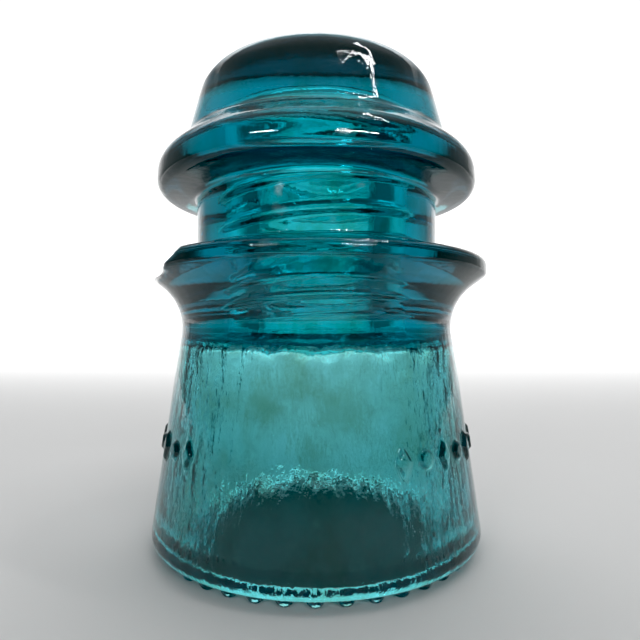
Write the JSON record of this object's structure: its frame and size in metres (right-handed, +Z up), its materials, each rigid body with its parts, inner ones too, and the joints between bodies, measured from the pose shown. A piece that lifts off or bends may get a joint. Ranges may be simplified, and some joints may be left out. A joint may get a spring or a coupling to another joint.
{
  "type": "pin-type glass insulator",
  "caption": "Pressed glass pin insulator: rounded dome, wire groove between a flange and a ledge, flared skirt with drip points, and a threaded pin hole.",
  "frame": {"origin": "on the axis, at the tips of the drip points that the insulator stands on", "axes": "+Z up the axis towards the dome, -Y the front, +X the right seen from the front"},
  "size_m": [0.0677, 0.068, 0.098],
  "materials": {
    "glass": "blue-green pressed glass, glossy, rippled inside the skirt"
  },
  "bodies": {
    "root": {"insulator_glass": "glass"}
  },
  "joints": []
}
